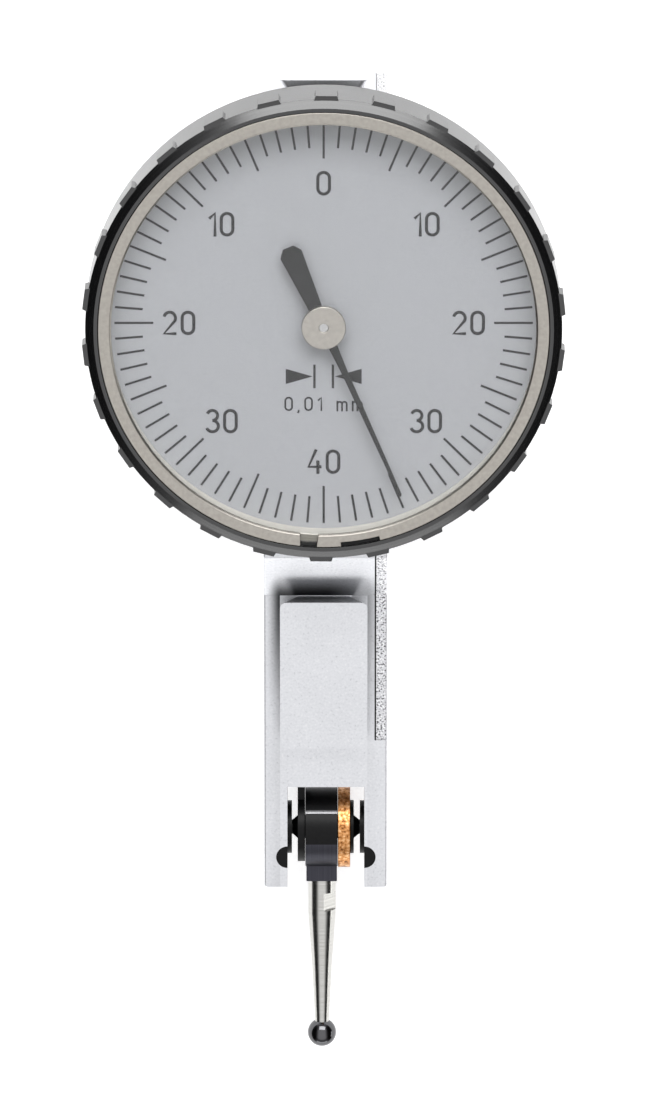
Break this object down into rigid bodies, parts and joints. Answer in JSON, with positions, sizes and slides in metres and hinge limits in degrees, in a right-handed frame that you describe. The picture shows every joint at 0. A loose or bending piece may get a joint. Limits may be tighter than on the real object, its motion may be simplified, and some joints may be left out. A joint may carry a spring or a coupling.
{
  "type": "dial test indicator",
  "caption": "Lever-type dial test indicator: round dial on a slim body with dovetail rails, and a swivelling ball stylus whose swing turns the pointer.",
  "frame": {"origin": "centre of the dial axis on the outer face of the underside dovetail rail", "axes": "+Z is the way the dial faces, +Y runs along the body from the stylus to the rear end, +X is the side cover's side"},
  "size_m": [0.0326, 0.0712, 0.0156],
  "materials": {
    "satin_chrome": "satin chrome plated steel, fine blasted grain",
    "blackened_steel": "burnished black steel",
    "grey_steel": "dark grey hardened steel",
    "polished_steel": "ground and polished hardened steel",
    "carbide": "polished carbide",
    "screw_steel": "turned steel",
    "copper": "raw copper, mottled",
    "movement_brass": "machined brass",
    "spring_bronze": "rolled bronze strip",
    "ruby": "polished synthetic ruby",
    "black_anodised": "black anodised aluminium",
    "satin_nickel": "satin nickel plated, warm grey",
    "dial_enamel": "matt light grey enamel",
    "crystal": "clear acrylic crystal",
    "gasket_rubber": "black rubber",
    "pointer_black": "matt black lacquered aluminium sheet"
  },
  "bodies": {
    "case": {"housing": "satin_chrome", "side_cover": "satin_chrome", "cover_screws": "screw_steel", "bearing_bush_left": "blackened_steel", "bearing_bush_right": "blackened_steel", "bush_keys": "blackened_steel", "crown_jewels": "ruby", "movement_bridge": "movement_brass", "bridge_screws": "screw_steel", "spindle_bracket": "movement_brass", "lever_stop_pins": "screw_steel", "spindle_jewel": "ruby", "spindle_bush": "movement_brass", "hairspring": "spring_bronze", "hairspring_stud": "movement_brass", "dial_carrier": "black_anodised", "carrier_screws": "screw_steel"},
    "bezel": {"grip_ring": "black_anodised", "retaining_ring": "satin_nickel", "crystal_gasket": "gasket_rubber", "crystal": "crystal", "rehaut_ring": "satin_nickel", "dial_plate": "dial_enamel", "wave_spring": "spring_bronze"},
    "lever": {"pivot_shaft": "blackened_steel", "measuring_lever": "blackened_steel", "gear_sector": "movement_brass", "sector_rivets": "screw_steel", "friction_disc": "copper", "clutch_washer": "blackened_steel"},
    "stylus": {"stylus_holder": "grey_steel", "stylus_shank": "polished_steel", "ball_tip": "carbide"},
    "crown": {"crown_arbor": "screw_steel", "lever_pinion": "screw_steel", "crown_wheel": "movement_brass"},
    "pointer": {"pointer_spindle": "screw_steel", "pointer_pinion": "screw_steel", "hairspring_collet": "movement_brass", "pointer_hub": "satin_nickel", "pointer": "pointer_black"}
  },
  "joints": [
    {"name": "bezel_turn", "type": "hinge", "parent": "case", "child": "bezel", "pos_m": [0, 0, 0.0133], "axis": [0, 0, 1], "continuous": true},
    {"name": "lever_swing", "type": "hinge", "parent": "case", "child": "lever", "pos_m": [0, -0.03875, 0.0049], "axis": [1, 0, 0], "range_deg": [-1.75, 1.75], "stiffness_Nm_per_rad": 0.12},
    {"name": "stylus_swivel", "type": "hinge", "parent": "lever", "child": "stylus", "pos_m": [0, -0.03875, 0.0049], "axis": [1, 0, 0], "range_deg": [-110, 110]},
    {"name": "crown_spin", "type": "hinge", "parent": "case", "child": "crown", "pos_m": [0, 0, 0.00635], "axis": [1, 0, 0], "range_deg": [-35, 35]},
    {"name": "pointer_spin", "type": "hinge", "parent": "case", "child": "pointer", "pos_m": [0, 0, 0.011], "axis": [0, 0, 1], "range_deg": [-207, 207]}
  ],
  "couplings": [
    {"joint": "crown_spin", "follows": "lever_swing", "ratio": -19.684},
    {"joint": "pointer_spin", "follows": "lever_swing", "ratio": -118.11}
  ]
}
